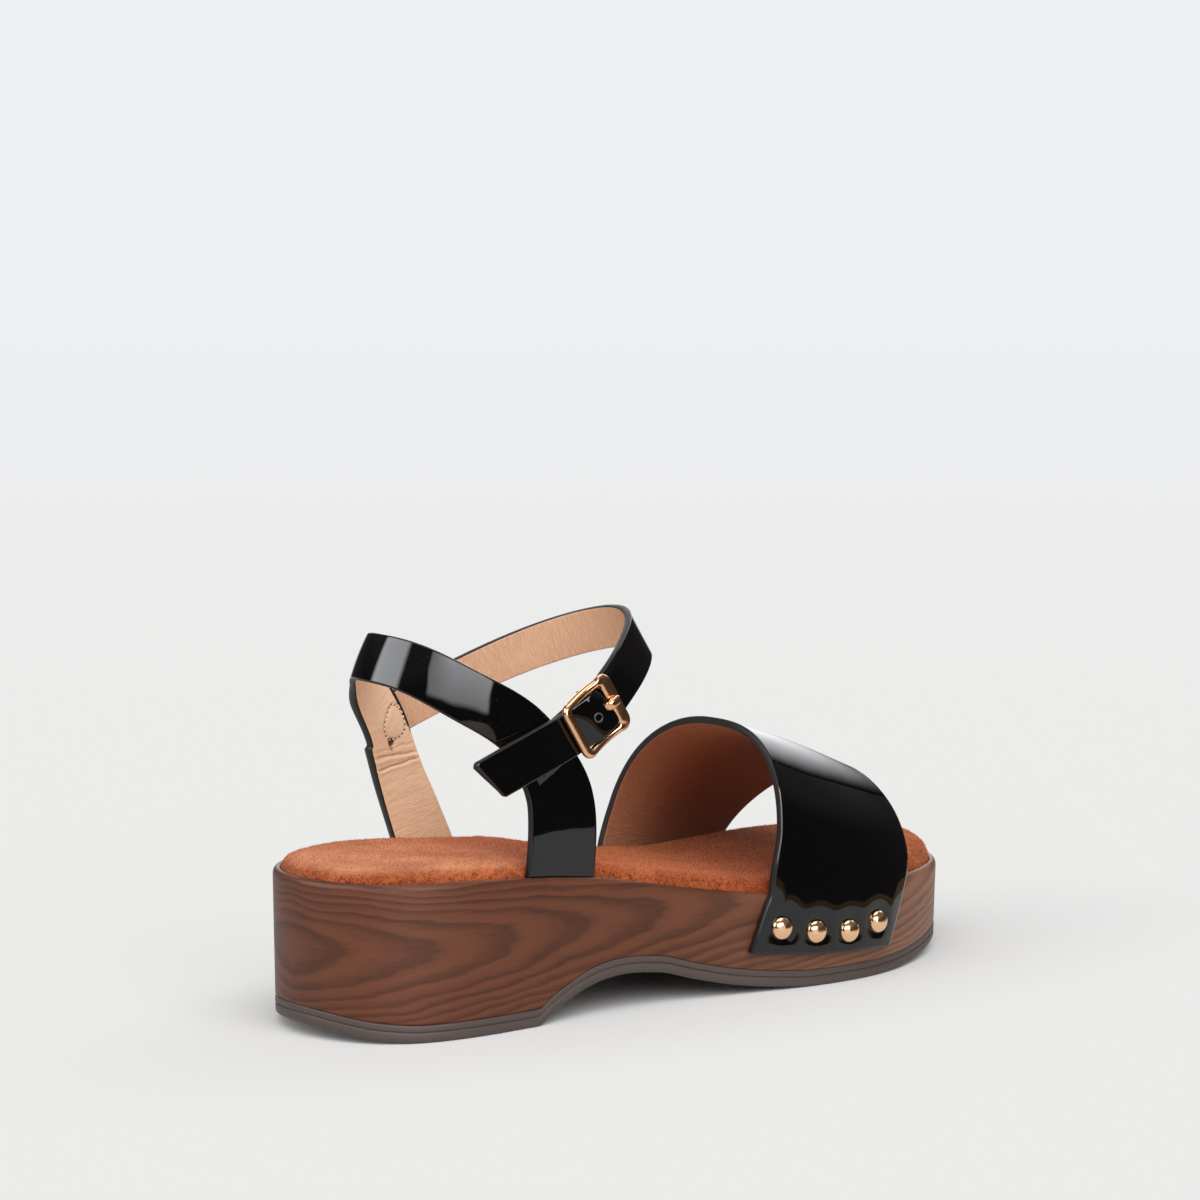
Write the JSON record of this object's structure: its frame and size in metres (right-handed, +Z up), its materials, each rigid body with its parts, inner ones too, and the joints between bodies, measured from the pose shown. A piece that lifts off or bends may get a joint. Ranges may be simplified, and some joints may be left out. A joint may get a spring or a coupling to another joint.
{
  "type": "flatform sandal",
  "caption": "Right-foot flatform sandal: wood-look platform on a rubber outsole, wide patent vamp band held by dome studs, heel strap and buckled ankle strap.",
  "frame": {"origin": "on the floor, under the middle of the sandal's box", "axes": "+X from heel to toe, +Y to the inner side of the foot, +Z up"},
  "size_m": [0.252, 0.1012, 0.1204],
  "materials": {
    "rubber": "dark brown, matt, moulded",
    "wood": "brown wood-look skin with long grain, satin",
    "suede": "rust suede with a short nap",
    "patent": "black patent, mirror gloss",
    "metal": "polished, rose gold coloured",
    "lining": "tan lining, satin",
    "thread": "sewing thread"
  },
  "bodies": {
    "root": {"outsole": "rubber", "platform": "wood", "insole": "suede", "vamp_band": "patent", "upper_straps": "patent", "buckle_frame": "metal", "buckle_prong": "metal", "stud_outer_1": "metal", "stud_outer_2": "metal", "stud_outer_3": "metal", "stud_outer_4": "metal", "stud_inner_1": "metal", "stud_inner_2": "metal", "stud_inner_3": "metal", "stud_inner_4": "metal"}
  },
  "joints": []
}
